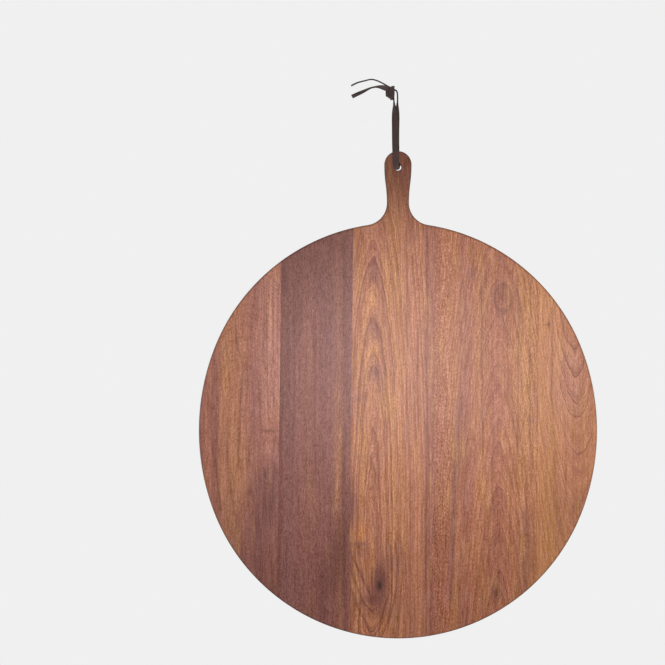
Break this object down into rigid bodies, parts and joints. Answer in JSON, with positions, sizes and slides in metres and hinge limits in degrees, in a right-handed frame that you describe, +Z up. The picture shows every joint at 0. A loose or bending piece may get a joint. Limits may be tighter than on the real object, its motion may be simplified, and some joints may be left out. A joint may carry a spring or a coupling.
{
  "type": "serving board",
  "caption": "Oval serving board of glued walnut staves with a short handle, smooth on one face and with a juice groove on the other, hanging by a knotted leather thong.",
  "frame": {"origin": "the hanging point, under the top of the thong's loop where a hook or nail carries it", "axes": "+Z up along the handle, +X to the right as the smooth face is seen, +Y from the smooth front face to the grooved back face"},
  "size_m": [0.4978, 0.0244, 0.7008],
  "materials": {
    "walnut_stave_1": "oiled",
    "walnut_stave_2": "oiled",
    "walnut_stave_3": "oiled",
    "walnut_stave_4": "oiled",
    "walnut_stave_5": "oiled",
    "leather_thong": "satin"
  },
  "bodies": {
    "thong": {"thong_loop": "leather_thong", "thong_knot": "leather_thong", "thong_upper_tail": "leather_thong", "thong_lower_tail": "leather_thong"},
    "board": {"stave_1": "walnut_stave_1", "stave_2": "walnut_stave_2", "stave_3": "walnut_stave_3", "stave_4": "walnut_stave_4", "stave_5": "walnut_stave_5"}
  },
  "joints": [
    {"name": "board_swing", "type": "hinge", "parent": "thong", "child": "board", "pos_m": [0.0025, 0, -0.095], "axis": [0, 1, 0], "range_deg": [-90, 90]}
  ]
}
